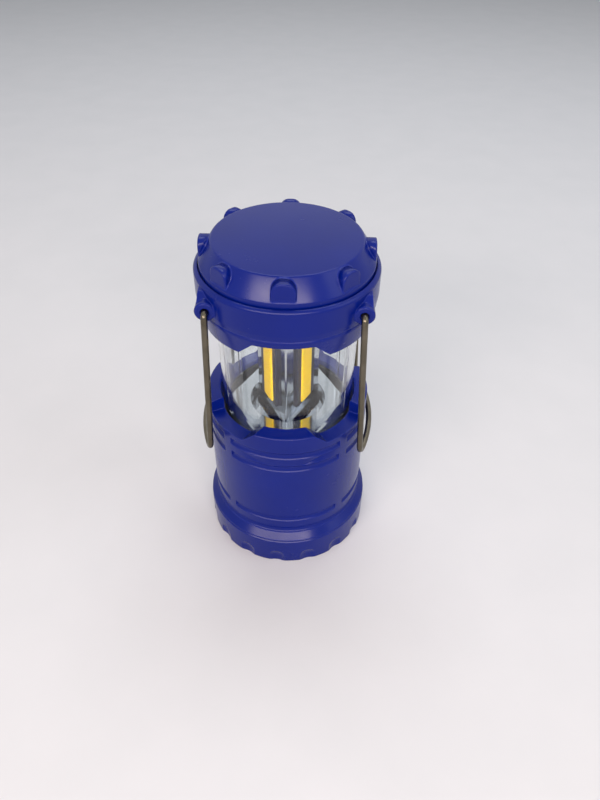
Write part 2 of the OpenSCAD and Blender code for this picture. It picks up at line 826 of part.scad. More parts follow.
// What is cut away above the rim's four low stretches.
module rim_gaps() {
    reach = body_r + 2;
    raised_side = side_notch_azimuth + side_wall_play;
    difference() {
        rotate_extrude()
            polygon([
                [rim_inner_r - 2, low_rim_z + (body_r - rim_inner_r + 2) * tan(low_rim_slope)],
                [reach, low_rim_z - (reach - body_r) * tan(low_rim_slope)],
                [reach, rim_z + rim_drop], [rim_inner_r - 2, rim_z + rim_drop]
            ]);
        between_ramps(low_rim_z, 3 * rim_drop, ramp_foot_round);
        for (side = [90, 270])
            wedge(raised_side - 90 + side, 90 - raised_side + side, reach, low_rim_z - cut, 3 * rim_drop);
    }
}

module base_shell() {
    color("#24348f")
        difference() {
            union() {
                rotate_extrude() rim_outline();
                ring(bore_r + cut, web_hole_r, base_z, web_t);
                ring(spigot_r, collar_inner_r, collar_foot_z, base_z - collar_foot_z + cut);
                ring(spigot_r, spigot_inner_r, spigot_foot_z, collar_foot_z - spigot_foot_z);
                for (third = thirds)
                    intersection() {
                        ring(spigot_r - 0.2, ledge_inner_r, ledge_z, ledge_t);
                        wedge(third - ledge_span / 2, third + ledge_span / 2, spigot_r, ledge_z, ledge_t);
                    }
            }
            rim_gaps();
            grooves();
            for (side = [0, 180])
                at_azimuth(side) key_notch();
            ring(spigot_r + cut, seal_r - seal_d / 2 - 0.05, seal_z - seal_d / 2 - seat_gap,
                seal_d + 2 * seat_gap);
            screw_holes(holder_screw_r, 0, base_z - cut, holder_screw_grip + seat_gap + cut);
        }
}

// Notch through the rim's lip that the chimney's key rib slides in.
module key_notch() {
    mouth_r = chimney_r(rim_z + stroke) + key_h + slide_gap;
    half_w = key_w / 2 + slide_gap;
    translate([0, 0, lip_z - cut])
        linear_extrude(rim_z - lip_z + rim_drop)
            polygon([
                [-half_w - 0.7, -rim_inner_r + cut], [-half_w, -mouth_r],
                [half_w, -mouth_r], [half_w + 0.7, -rim_inner_r + cut]
            ]);
}

// Solid six-sided dish with falling edges: its top and wall lie inset inside the
// reflector's own, and its foot lies below the reflector's skirt by the value of below.
module reflector_dish(inset, below) {
    top_z = reflector_z - inset;
    foot_z = reflector_z - reflector_h - below;
    corner_r = reflector_corner_r - inset;
    difference() {
        translate([0, 0, foot_z]) cylinder(h = top_z - foot_z, r = reflector_skirt_r - inset);
        for (azimuth = [0:60:300])
            at_azimuth(azimuth)
                translate([-corner_r, -corner_r * cos(30), top_z])
                    rotate([reflector_fall, 0, 0])
                        translate([0, -corner_r, 0])
                            cube([2 * corner_r, corner_r, corner_r]);
    }
}

// Chrome dish with a collar round its hole, three staked posts, and a notch in its skirt
// for each rib inside the chimney.
module reflector() {
    underside_z = reflector_z - reflector_t / 2;
    notch_w = inner_rib_w + 2 * slide_gap;
    color("#c9ccd2")
        difference() {
            union() {
                difference() {
                    reflector_dish(0, 0);
                    reflector_dish(reflector_t, cut);
                }
                translate([0, 0, reflector_z - hole_collar_h])
                    cylinder(h = underside_z - reflector_z + hole_collar_h, r = hole_r + hole_collar_wall);
                for (third = thirds) {
                    post = polar(post_ring_r, third);
                    translate([post.x, post.y, holder_cap_top])
                        cylinder(h = underside_z - holder_cap_top, r = post_r);
                    translate([post.x, post.y, holder_cap_top - stake_l])
                        cylinder(h = stake_l + post_r, d = stake_d);
                }
            }
            translate([0, 0, reflector_z - hole_collar_h - cut])
                cylinder(h = hole_collar_h + 2 * cut, r = hole_r);
            for (azimuth = inner_rib_azimuths)
                at_azimuth(azimuth)
                    translate([-notch_w / 2, -ring_r, reflector_z - reflector_h - cut])
                        cube([notch_w, ring_r - inner_rib_foot_r + slide_gap, reflector_h + 2 * cut]);
        }
}

// Three sleeves for the cells round the column's well, with a cap and a screwed flange.
module battery_holder() {
    flange_z = base_z - holder_flange_t;
    color("#26282c")
        difference() {
            union() {
                translate([0, 0, holder_foot_z])
                    linear_extrude(holder_cap_z - holder_foot_z)
                        round_triangle(well_flat_r + holder_wall, well_round + holder_wall);
                for (azimuth = flat_azimuths) {
                    place = polar(cell_ring_r, azimuth);
                    translate([place.x, place.y, holder_foot_z])
                        cylinder(h = holder_cap_z - holder_foot_z, r = cell_bore_r + holder_wall);
                }
                translate([0, 0, holder_cap_z]) cylinder(h = holder_cap_t, r = holder_cap_r);
                translate([0, 0, flange_z]) cylinder(h = holder_flange_t, r = holder_flange_r);
            }
            translate([0, 0, holder_foot_z - cut])
                linear_extrude(holder_cap_top - holder_foot_z + 2 * cut)
                    round_triangle(well_flat_r, well_round);
            for (azimuth = flat_azimuths) {
                place = polar(cell_ring_r, azimuth);
                translate([place.x, place.y, holder_foot_z - cut])
                    cylinder(h = holder_cap_z - holder_foot_z + cut, r = cell_bore_r);
            }
            strap(180, 300, cell_top, holder_cap_z - cell_top, seat_gap);
            screw_holes(holder_screw_r, 0, flange_z - cut, holder_flange_t + 2 * cut);
            for (third = thirds) {
                post = polar(post_ring_r, third);
                translate([post.x, post.y, holder_cap_top - stake_l - seat_gap])
                    cylinder(h = stake_l + seat_gap + cut, d = stake_d + 2 * seat_gap);
            }
        }
}

module cell(azimuth) {
    place = polar(cell_ring_r, azimuth);
    color("#4d8f57")
        translate([place.x, place.y, cell_z]) {
            cylinder(h = cell_l - button_h, d = cell_d - 2 * sleeve_play);
            cylinder(h = cell_l, d = button_d);
        }
}

// Curved strap of height h from azimuth a to azimuth b, wider by play on both sides.
module strap(a, b, z, h, play = 0) {
    intersection() {
        ring(strap_r + strap_w / 2 + play, strap_r - strap_w / 2 - play, z, h);
        wedge(a, b, strap_r, z - cut, h + 2 * cut);
    }
}

// Contact plate over the cells at the given azimuths, joined by a strap.
module contact_plate(azimuths, z) {
    color("#b9bcc0") {
        for (azimuth = azimuths) {
            place = polar(cell_ring_r, azimuth);
            translate([place.x, place.y, z]) cylinder(h = plate_t, r = plate_r);
        }
        if (len(azimuths) > 1) strap(azimuths[0], azimuths[1], z, plate_t);
    }
}

module output_contact() {
    contact_plate([60], cell_top + seat_gap);
}

module bridge_contact() {
    contact_plate([180, 300], cell_top + seat_gap);
}

// Strip on the wall of the well, to the rear of the right board.
module contact_rail() {
    color("#b9bcc0")
        at_azimuth(60)
            translate([rail_x - rail_w / 2, -rail_r, rail_z]) cube([rail_w, rail_t, rail_top - rail_z]);
}

module holder_screws() {
    color("#9a9a9a")
        screw_ring(holder_screw_r, 0, base_z - holder_flange_t, holder_flange_t + holder_screw_grip);
}

module cover_seal() {
    color("#1b1b1b")
        translate([0, 0, seal_z])
            rotate_extrude() translate([seal_r, 0]) circle(d = seal_d);
}

// ---- Bottom cover ----

// One finger flute: an upright hollow with a rounded top.
module flute() {
    flute_r = (pow(flute_w / 2, 2) + pow(flute_depth, 2)) / (2 * flute_depth);
    translate([0, -cover_r - flute_r + flute_depth, 0]) {
        translate([0, 0, -cut]) cylinder(h = flute_w / 2 + cut, r = flute_r);
        translate([0, 0, flute_w / 2]) sphere(r = flute_r);
    }
}

module bottom_cover() {
    color("#24348f")
        difference() {
            union() {
                difference() {
                    rotate_extrude()
                        polygon([
                            [0, 0], [cover_r - cover_edge, 0], [cover_r, cover_edge],
                            [cover_r, cover_h - cover_edge], [cover_r - cover_edge, cover_h], [0, cover_h]
                        ]);
                    translate([0, 0, cover_floor]) cylinder(h = cover_h, r = cover_r - cover_wall);
                }
                ring(bayonet_wall_r, bayonet_wall_r - bayonet_wall, cover_floor - 0.1,
                    bayonet_top - cover_floor + 0.1);
                for (third = thirds)
                    intersection() {
                        ring(spigot_inner_r - 0.4, bayonet_wall_r - 0.2, bayonet_z, ledge_t);
                        wedge(third - lug_span / 2, third + lug_span / 2, cover_r, bayonet_z, ledge_t);
                    }
            }
            for (i = [0:flute_count - 1])
                at_azimuth(flute_azimuth + i * 360 / flute_count) flute();
            translate([0, 0, -cut]) cylinder(h = foot_recess + cut, r = foot_recess_r);
        }
}

module cover_bridge() {
    contact_plate([60, 180], cover_floor);
}

module cover_return() {
    contact_plate([300], cover_floor);
}

// A point on the rim of the spring wire's section, s turns up the coil.
function spring_point(s, side) =
    let (
        share = s / spring_turns,
        r = spring_foot_r + (spring_top_r - spring_foot_r) * share,
        angle = 360 * side / spring_sides
    )
    [
        (r + spring_wire_d / 2 * cos(angle)) * cos(360 * s),
        (r + spring_wire_d / 2 * cos(angle)) * sin(360 * s),
        spring_h * share + spring_wire_d / 2 * sin(angle)
    ];

// Conical coil that narrows from the plate to the cell.
module cell_spring(azimuth) {
    place = polar(cell_ring_r, azimuth);
    rings = spring_turns * spring_steps;
    points = [
        for (i = [0:rings], side = [0:spring_sides - 1]) spring_point(i / spring_steps, side)
    ];
    skin = [
        for (i = [0:rings - 1], side = [0:spring_sides - 1])
            let (a = i * spring_sides, next = (side + 1) % spring_sides)
            [a + side, a + spring_sides + side, a + spring_sides + next, a + next]
    ];
    foot_face = [for (side = [0:spring_sides - 1]) side];
    top_face = [for (side = [spring_sides - 1:-1:0]) rings * spring_sides + side];
    color("#c9ccd2")
        translate([place.x, place.y, spring_z])
            polyhedron(points, concat(skin, [foot_face, top_face]));
}

top_cap();
cap_ring();
chimney();
light_column();
led_board(300);  // led_board_left
led_board(60);  // led_board_right
led_board(180);  // led_board_rear
led_strip(300);  // led_strip_left
led_strip(60);  // led_strip_right
led_strip(180);  // led_strip_rear
mirror([1, 0, 0]) contact_finger();  // contact_finger_left
contact_finger();  // contact_finger_right
friction_band();
cap_screws();
column_screws();
handle_left();
handle_right();
base_shell();
reflector();
battery_holder();
cell(180);  // cell_rear
cell(300);  // cell_left
cell(60);  // cell_right
output_contact();
bridge_contact();
mirror([1, 0, 0]) contact_rail();  // contact_rail_left
contact_rail();  // contact_rail_right
holder_screws();
cover_seal();
bottom_cover();
cover_bridge();
cover_return();
cell_spring(180);  // spring_rear
cell_spring(300);  // spring_left
cell_spring(60);  // spring_right
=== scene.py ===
"""Looks of a pop-up camping lantern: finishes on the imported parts, and finer surfaces for its cap, light
strips and wire bails. Metres, +Z up, front at -Y."""

import json
import math

import bpy
import numpy as np
from mathutils import Matrix, Vector


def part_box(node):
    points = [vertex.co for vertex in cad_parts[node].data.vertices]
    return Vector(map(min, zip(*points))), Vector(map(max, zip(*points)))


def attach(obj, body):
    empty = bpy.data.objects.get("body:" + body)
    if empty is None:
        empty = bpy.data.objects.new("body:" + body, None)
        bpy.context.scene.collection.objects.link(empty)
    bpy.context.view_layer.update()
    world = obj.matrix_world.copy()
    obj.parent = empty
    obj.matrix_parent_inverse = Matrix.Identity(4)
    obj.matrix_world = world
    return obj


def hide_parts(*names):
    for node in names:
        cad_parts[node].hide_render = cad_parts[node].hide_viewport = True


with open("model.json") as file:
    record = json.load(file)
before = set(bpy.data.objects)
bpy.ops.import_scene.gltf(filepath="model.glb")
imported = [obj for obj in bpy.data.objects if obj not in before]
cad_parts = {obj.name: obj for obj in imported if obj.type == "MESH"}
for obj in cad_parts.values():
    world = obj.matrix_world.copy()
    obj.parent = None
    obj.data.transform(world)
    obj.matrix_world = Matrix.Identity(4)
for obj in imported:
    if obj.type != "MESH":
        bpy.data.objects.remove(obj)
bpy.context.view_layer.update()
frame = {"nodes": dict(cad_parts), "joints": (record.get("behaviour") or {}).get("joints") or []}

bl_info = {
    "name": "Camping Lantern Looks",
    "version": (1, 0, 0),
    "blender": (4, 5, 0),
    "location": "View3D > Sidebar > Lantern",
    "description": "Dresses a pop-up camping lantern's parts and lays out its studio",
    "category": "Object",
}

MM = 0.001
NODES = frame["nodes"]
AXLES = {joint["name"]: Vector(joint.get("pos_m", (0, 0, 0))) for joint in frame["joints"]}
FLAT_AZIMUTHS = {"left": 300.0, "right": 60.0, "rear": 180.0}
CHIP_PITCH = 1.5 * MM
WIRE_UV = "wire"


# ---- Colours and nodes ----


def linear(hex_colour):
    """sRGB hex to a linear RGBA: below 0.04045 a straight line, above it a 2.4 power curve."""
    value = np.array([int(hex_colour[i:i + 2], 16) for i in (1, 3, 5)]) / 255
    low = value / 12.92
    high = ((value + 0.055) / 1.055) ** 2.4
    return (*np.where(value <= 0.04045, low, high).tolist(), 1.0)


def add_node(tree, kind, settings=(), links=(), **attributes):
    """Adds one node, sets its attributes and socket values, and links outputs into its sockets."""
    node = tree.nodes.new(kind)
    for name, value in attributes.items():
        setattr(node, name, value)
    for socket, value in dict(settings).items():
        node.inputs[socket].default_value = value
    for socket, output in dict(links).items():
        tree.links.new(output, node.inputs[socket])
    return node


def new_material(name):
    """An empty node material with its output, and its Object coordinates in metres."""
    material = bpy.data.materials.new(name)
    material.use_nodes = True
    tree = material.node_tree
    tree.nodes.clear()
    output = add_node(tree, "ShaderNodeOutputMaterial")
    place = add_node(tree, "ShaderNodeTexCoord").outputs["Object"]
    return material, tree, output, place


def per_metre(millimetres):
    """Noise scale whose features are about that many millimetres across."""
    return 1 / (millimetres * MM)


def moulded_abs():
    """Coloured ABS, injection moulded in a satin-polished tool: an even, deep colour under a soft sheen,
    a faint orange-peel skin, edges rubbed a little lighter, and a few grains of dust."""
    material, tree, output, place = new_material("abs_moulded_satin")
    colours = bpy.context.scene.lantern_colours
    cloud = add_node(tree, "ShaderNodeTexNoise", {"Scale": per_metre(22), "Detail": 3.0}, {"Vector": place})
    tone = add_node(tree, "ShaderNodeMix", {"A": linear(colours.shell_dark), "B": linear(colours.shell)},
                    {"Factor": cloud.outputs["Fac"]}, data_type="RGBA")
    # A rounded edge's normal leaves the flat one only next to an edge, which marks where hands rub.
    rounded = add_node(tree, "ShaderNodeBevel", {"Radius": 0.5 * MM}, samples=6)
    wide = add_node(tree, "ShaderNodeBevel", {"Radius": 0.7 * MM}, samples=6)
    flat = add_node(tree, "ShaderNodeNewGeometry")
    same = add_node(tree, "ShaderNodeVectorMath", {}, {0: wide.outputs["Normal"], 1: flat.outputs["Normal"]},
                    operation="DOT_PRODUCT")
    rubbed = add_node(tree, "ShaderNodeMapRange",
                      {"From Min": 0.995, "From Max": 0.86, "To Min": 0.0, "To Max": 1.0},
                      {"Value": same.outputs["Value"]})
    patchy = add_node(tree, "ShaderNodeTexNoise", {"Scale": per_metre(2.5), "Detail": 4.0},
                      {"Vector": place})
    wear = add_node(tree, "ShaderNodeMath", {}, {0: rubbed.outputs["Result"], 1: patchy.outputs["Fac"]},
                    operation="MULTIPLY")
    worn = add_node(tree, "ShaderNodeMix", {"B": linear(colours.shell_rubbed)},
                    {"Factor": wear.outputs["Value"], "A": tone.outputs["Result"]}, data_type="RGBA")
    # One grain of dust in a cell of 3.2 mm, drawn about 0.2 mm across, the finest that still shows.
    grains = add_node(tree, "ShaderNodeTexVoronoi", {"Scale": per_metre(3.2), "Randomness": 1.0},
                      {"Vector": place}, feature="F1")
    grain = add_node(tree, "ShaderNodeMapRange",
                     {"From Min": 0.035, "From Max": 0.02, "To Min": 0.0, "To Max": 0.4},
                     {"Value": grains.outputs["Distance"]})
    dusty = add_node(tree, "ShaderNodeMix", {"B": linear("#7F86AE")},
                     {"Factor": grain.outputs["Result"], "A": worn.outputs["Result"]}, data_type="RGBA")
    smear = add_node(tree, "ShaderNodeTexNoise", {"Scale": per_metre(9), "Detail": 5.0, "Roughness": 0.62},
                     {"Vector": place})
    gloss = add_node(tree, "ShaderNodeMapRange",
                     {"From Min": 0.3, "From Max": 0.7, "To Min": 0.2, "To Max": 0.28},
                     {"Value": smear.outputs["Fac"]})
    skin = add_node(tree, "ShaderNodeTexNoise", {"Scale": per_metre(0.35), "Detail": 2.0}, {"Vector": place})
    peel = add_node(tree, "ShaderNodeBump", {"Strength": 0.10, "Distance": 0.03 * MM},
                    {"Height": skin.outputs["Fac"], "Normal": rounded.outputs["Normal"]})
    # ABS has an index of 1.54, but so fine a satin scatters over half of what a polished face mirrors.
    shader = add_node(tree, "ShaderNodeBsdfPrincipled", {"IOR": 1.54, "Specular IOR Level": 0.2},
                      {"Base Color": dusty.outputs["Result"], "Roughness": gloss.outputs["Result"],
                       "Normal": peel.outputs["Normal"]})
    tree.links.new(shader.outputs["BSDF"], output.inputs["Surface"])
    return material


def clear_polystyrene():
    """General-purpose polystyrene, moulded clear: water-bright, with faint flow ripples and fine sliding
    scratches that run up and down. Its index is drawn at 1.45, below the real 1.59, so that the wall keeps
    what stands behind it straight."""
    material, tree, output, place = new_material("polystyrene_clear")
    stretch = add_node(tree, "ShaderNodeMapping", {"Scale": (1.0, 1.0, 0.03)}, {"Vector": place})
    scuff = add_node(tree, "ShaderNodeTexNoise", {"Scale": per_metre(0.5), "Detail": 3.0},
                     {"Vector": stretch.outputs["Vector"]})
    haze = add_node(tree, "ShaderNodeMapRange",
                    {"From Min": 0.55, "From Max": 0.8, "To Min": 0.015, "To Max": 0.09},
                    {"Value": scuff.outputs["Fac"]})
    flow = add_node(tree, "ShaderNodeTexNoise", {"Scale": per_metre(9), "Detail": 1.0}, {"Vector": place})
    ripple = add_node(tree, "ShaderNodeBump", {"Strength": 0.12, "Distance": 0.1 * MM},
                      {"Height": flow.outputs["Fac"]})
    shader = add_node(tree, "ShaderNodeBsdfPrincipled",
                      {"Base Color": linear("#F4F7F8"), "IOR": 1.45, "Transmission Weight": 1.0},
                      {"Roughness": haze.outputs["Result"], "Normal": ripple.outputs["Normal"]})
    clear = add_node(tree, "ShaderNodeBsdfTransparent", {"Color": linear("#EEF2F4")})
    path = add_node(tree, "ShaderNodeLightPath")
    # Shadow rays pass straight through, as light does through so thin a wall.
    passes = add_node(tree, "ShaderNodeMixShader", {},
                      {"Fac": path.outputs["Is Shadow Ray"], 1: shader.outputs["BSDF"],
                       2: clear.outputs["BSDF"]})
    tree.links.new(passes.outputs["Shader"], output.inputs["Surface"])
    return material


def chrome_on_abs():
    """Vacuum-metallised ABS: a bright mirror with the moulding's slight waves and a thin lacquer haze."""
    material, tree, output, place = new_material("abs_vacuum_chromed")
    wave = add_node(tree, "ShaderNodeTexNoise", {"Scale": per_metre(7), "Detail": 2.0}, {"Vector": place})
    haze = add_node(tree, "ShaderNodeTexNoise", {"Scale": per_metre(3), "Detail": 5.0}, {"Vector": place})
    gloss = add_node(tree, "ShaderNodeMapRange",
                     {"From Min": 0.3, "From Max": 0.75, "To Min": 0.06, "To Max": 0.16},
                     {"Value": haze.outputs["Fac"]})
    rounded = add_node(tree, "ShaderNodeBevel", {"Radius": 0.3 * MM}, samples=6)
    waves = add_node(tree, "ShaderNodeBump", {"Strength": 0.25, "Distance": 0.2 * MM},
                     {"Height": wave.outputs["Fac"], "Normal": rounded.outputs["Normal"]})
    tint = add_node(tree, "ShaderNodeMix", {"A": linear("#D6D8DB"), "B": linear("#BFC3C9")},
                    {"Factor": haze.outputs["Fac"]}, data_type="RGBA")
    shader = add_node(tree, "ShaderNodeBsdfPrincipled", {"Metallic": 1.0},
                      {"Base Color": tint.outputs["Result"], "Roughness": gloss.outputs["Result"],
                       "Normal": waves.outputs["Normal"]})
    tree.links.new(shader.outputs["BSDF"], output.inputs["Surface"])
    return material


def phosphor_silicone():
    """Silicone loaded with yellow phosphor, dispensed over a row of chips: an opaque warm yellow, satin,
    and a little deeper over every other chip."""
    material, tree, output, place = new_material("silicone_yellow_phosphor")
    colours = bpy.context.scene.lantern_colours
    # At a scale of 1 the wave texture has 20 bands in 2 pi metres, so this gives one in two pitches.
    chips = add_node(tree, "ShaderNodeTexWave", {"Scale": math.pi / 20 / CHIP_PITCH, "Distortion": 0.4},
                     {"Vector": place}, bands_direction="Z")
    grain = add_node(tree, "ShaderNodeTexNoise", {"Scale": per_metre(0.6), "Detail": 3.0}, {"Vector": place})
    deeper = add_node(tree, "ShaderNodeMath", {1: 0.35}, {0: chips.outputs["Fac"]}, operation="MULTIPLY")
    tone = add_node(tree, "ShaderNodeMix",
                    {"A": linear(colours.phosphor), "B": linear(colours.phosphor_deep)},
                    {"Factor": deeper.outputs["Value"]}, data_type="RGBA")
    gloss = add_node(tree, "ShaderNodeMapRange", {"To Min": 0.3, "To Max": 0.5},
                     {"Value": grain.outputs["Fac"]})
    bump = add_node(tree, "ShaderNodeBump", {"Strength": 0.2, "Distance": 0.05 * MM},
                    {"Height": grain.outputs["Fac"]})
    shader = add_node(tree, "ShaderNodeBsdfPrincipled",
                      {"IOR": 1.41, "Subsurface Weight": 0.15, "Subsurface Scale": 0.5 * MM},
                      {"Base Color": tone.outputs["Result"], "Roughness": gloss.outputs["Result"],
                       "Normal": bump.outputs["Normal"]})
    tree.links.new(shader.outputs["BSDF"], output.inputs["Surface"])
    return material


def drawn_nickel_wire():
    """Drawn steel wire under dull nickel: grey-bronze metal with fine die lines along it and darker,
    handled patches."""
    material, tree, output, place = new_material("steel_wire_dull_nickel")
    along = add_node(tree, "ShaderNodeUVMap", uv_map=WIRE_UV)
    # The map's U goes once round the wire and its V rises by 1 every centimetre along it.
    stretch = add_node(tree, "ShaderNodeMapping", {"Scale": (60.0, 3.0, 1.0)},
                       {"Vector": along.outputs["UV"]})
    lines = add_node(tree, "ShaderNodeTexNoise", {"Scale": 1.0, "Detail": 3.0},
                     {"Vector": stretch.outputs["Vector"]})
    patches = add_node(tree, "ShaderNodeTexNoise", {"Scale": per_metre(5), "Detail": 5.0}, {"Vector": place})
    tone = add_node(tree, "ShaderNodeMix", {"A": linear("#4A4539"), "B": linear("#7C7567")},
                    {"Factor": patches.outputs["Fac"]}, data_type="RGBA")
    gloss = add_node(tree, "ShaderNodeMapRange",
                     {"From Min": 0.3, "From Max": 0.7, "To Min": 0.26, "To Max": 0.42},
                     {"Value": patches.outputs["Fac"]})
    bump = add_node(tree, "ShaderNodeBump", {"Strength": 0.25, "Distance": 0.02 * MM},
                    {"Height": lines.outputs["Fac"]})
    shader = add_node(tree, "ShaderNodeBsdfPrincipled", {"Metallic": 1.0},
                      {"Base Color": tone.outputs["Result"], "Roughness": gloss.outputs["Result"],
                       "Normal": bump.outputs["Normal"]})
    tree.links.new(shader.outputs["BSDF"], output.inputs["Surface"])
    return material


def rolled_metal(name, dark, light, grain_mm, roughness):
    """Plated or bare sheet and turned metal: a cloudy tone, rolled grain across X and soft wear."""
    material, tree, output, place = new_material(name)
    stretch = add_node(tree, "ShaderNodeMapping", {"Scale": (0.08, 1.0, 1.0)}, {"Vector": place})
    grain = add_node(tree, "ShaderNodeTexNoise", {"Scale": per_metre(grain_mm), "Detail": 3.0},
                     {"Vector": stretch.outputs["Vector"]})
    cloud = add_node(tree, "ShaderNodeTexNoise", {"Scale": per_metre(4), "Detail": 4.0}, {"Vector": place})
    tone = add_node(tree, "ShaderNodeMix", {"A": linear(dark), "B": linear(light)},
                    {"Factor": cloud.outputs["Fac"]}, data_type="RGBA")
    gloss = add_node(tree, "ShaderNodeMapRange",
                     {"From Min": 0.3, "From Max": 0.7, "To Min": roughness, "To Max": roughness + 0.15},
                     {"Value": grain.outputs["Fac"]})
    bump = add_node(tree, "ShaderNodeBump", {"Strength": 0.3, "Distance": 0.02 * MM},
                    {"Height": grain.outputs["Fac"]})
    shader = add_node(tree, "ShaderNodeBsdfPrincipled", {"Metallic": 1.0},
                      {"Base Color": tone.outputs["Result"], "Roughness": gloss.outputs["Result"],
                       "Normal": bump.outputs["Normal"]})
    tree.links.new(shader.outputs["BSDF"], output.inputs["Surface"])
    return material


def moulded_dull(name, dark, light, grain_mm, roughness, ior):
    """Dull non-metal, such as solder mask, rubber or a shrink sleeve: a clouded tone under a fine grain."""
    material, tree, output, place = new_material(name)
    grain = add_node(tree, "ShaderNodeTexNoise", {"Scale": per_metre(grain_mm), "Detail": 3.0},
                     {"Vector": place})
    cloud = add_node(tree, "ShaderNodeTexNoise", {"Scale": per_metre(6), "Detail": 4.0}, {"Vector": place})
    tone = add_node(tree, "ShaderNodeMix", {"A": linear(dark), "B": linear(light)},
                    {"Factor": cloud.outputs["Fac"]}, data_type="RGBA")
    gloss = add_node(tree, "ShaderNodeMapRange",
                     {"From Min": 0.3, "From Max": 0.7, "To Min": roughness, "To Max": roughness + 0.12},
                     {"Value": cloud.outputs["Fac"]})
    bump = add_node(tree, "ShaderNodeBump", {"Strength": 0.25, "Distance": 0.03 * MM},
                    {"Height": grain.outputs["Fac"]})
    shader = add_node(tree, "ShaderNodeBsdfPrincipled", {"IOR": ior},
                      {"Base Color": tone.outputs["Result"], "Roughness": gloss.outputs["Result"],
                       "Normal": bump.outputs["Normal"]})
    tree.links.new(shader.outputs["BSDF"], output.inputs["Surface"])
    return material


def dress(material, *node_names):
    """The CAD nodes of those names take the material in every slot."""
    for name in node_names:
        slots = NODES[name].data.materials
        slots.clear()
        slots.append(material)


# ---- Surfaces ----


def shell_faces(rows, columns):
    """Quads of a grid whose columns close into a ring, and a face over its first and last rows."""
    index = np.arange(rows * columns).reshape(rows, columns)
    right = np.roll(index, -1, 1)
    quads = np.stack([index[:-1], right[:-1], right[1:], index[1:]], -1).reshape(-1, 4)
    return quads, index[0, ::-1], index[-1]


def is_inside_out(points, quads):
    """True if the volume that the quads sweep from the grid's middle, a sum of a . (b x c), is negative."""
    flat = points.reshape(-1, 3)
    flat = flat - flat.mean(0)
    a, b, c, d = (flat[quads[:, i]] for i in range(4))
    return (a * np.cross(b, c) + a * np.cross(c, d)).sum() < 0


def solid(name, grids, uv=None):
    """One smooth mesh of closed skins, each a grid of points, (rows, columns, 3) in metres, whose rows are
    rings. Faces point outward."""
    vertices, faces, start = [], [], 0
    for points in grids:
        quads, first, last = shell_faces(*points.shape[:2])
        turn = -1 if is_inside_out(points, quads) else 1
        faces += (quads[:, ::turn] + start).tolist()
        faces += [(first[::turn] + start).tolist(), (last[::turn] + start).tolist()]
        vertices.append(points.reshape(-1, 3))
        start += len(vertices[-1])
    mesh = bpy.data.meshes.new(name)
    mesh.from_pydata(np.concatenate(vertices).tolist(), [], faces)
    mesh.shade_smooth()
    if uv is not None:
        layer = mesh.uv_layers.new(name=WIRE_UV)
        corners = np.empty(len(mesh.loops), np.int32)
        mesh.loops.foreach_get("vertex_index", corners)
        layer.data.foreach_set("uv", uv.reshape(-1, 2)[corners].astype(np.float32).ravel())
    piece = bpy.data.objects.new(name, mesh)
    bpy.context.scene.collection.objects.link(piece)
    return piece


def turned(profile, columns, centre=(0, 0)):
    """Rings of a profile, rows of (radius, height), turned round an upright axis: at equal steps of the
    azimuth a, x is r sin a and y is -r cos a from the centre."""
    a = np.arange(columns) * 2 * np.pi / columns
    r, z = profile[:, :1], np.repeat(profile[:, 1:], columns, 1)
    return np.stack([centre[0] + r * np.sin(a), centre[1] - r * np.cos(a), z], -1)


def at_azimuth(points, degrees):
    """Points turned by the azimuth a from the front, at -Y, round the axis towards +X:
    x cos a - y sin a and x sin a + y cos a."""
    a = math.radians(degrees)
    x, y, z = points[..., 0], points[..., 1], points[..., 2]
    return np.stack([x * math.cos(a) - y * math.sin(a), x * math.sin(a) + y * math.cos(a), z], -1)


def add_piece(piece, material, body, slot, *replaced):
    """Gives a finished piece its material and its body, and hides the CAD nodes that it stands for."""
    piece.data.materials.append(material)
    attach(piece, body)
    for node in replaced:
        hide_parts(node)


def rounded_corner(corner, before, after, radius, steps):
    """Points of an arc of that radius that rounds the corner between two straight runs of a profile: it
    touches each run at radius / tan(half the angle between them)."""
    a = (before - corner) / np.linalg.norm(before - corner)
    b = (after - corner) / np.linalg.norm(after - corner)
    half = math.acos(float(np.clip(a @ b, -1, 1))) / 2
    bisector = (a + b) / np.linalg.norm(a + b)
    centre = corner + bisector * radius / math.sin(half)
    start, end = corner + a * radius / math.tan(half) - centre, corner + b * radius / math.tan(half) - centre
    turn = math.atan2(start[0] * end[1] - start[1] * end[0], start @ end)
    angles = np.linspace(0, turn, steps)
    cos, sin = np.cos(angles), np.sin(angles)
    return centre + np.stack([start[0] * cos - start[1] * sin, start[0] * sin + start[1] * cos], 1)


def rounded_run(corners, radii, steps=7):
    """Open profile through the corners, (radius, height), each but the ends rounded by its own radius."""
    corners = np.array(corners, float)
    arcs = [rounded_corner(corner, before, after, radius, steps)
            for before, corner, after, radius in zip(corners, corners[1:], corners[2:], radii)]
    return np.concatenate([corners[:1], *arcs, corners[-1:]])


def smooth_step(low, high, value):
    """0 below low, 1 above high, and the cubic 3t^2 - 2t^3 between."""
    t = np.clip((value - low) / (high - low), 0, 1)
    return t * t * (3 - 2 * t)


# ---- Settings ----


class LanternColours(bpy.types.PropertyGroup):
    """Colours of the shells, the light strips and the floor, as sRGB hex"""

    shell: bpy.props.StringProperty(
        name="Shell", description="Colour of the moulded shells", default="#021B7C")
    shell_dark: bpy.props.StringProperty(
        name="Shell, deeper", description="Deeper tone clouded into the shells", default="#01156A")
    shell_rubbed: bpy.props.StringProperty(
        name="Shell, rubbed", description="Tone of the shells' handled edges", default="#22339A")
    phosphor: bpy.props.StringProperty(
        name="Phosphor", description="Colour of the light strips", default="#F7CC08")
    phosphor_deep: bpy.props.StringProperty(
        name="Phosphor, deeper", description="Tone over every other chip", default="#F0C008")
    floor: bpy.props.StringProperty(
        name="Floor", description="Colour of the studio's floor", default="#D9DBDD")


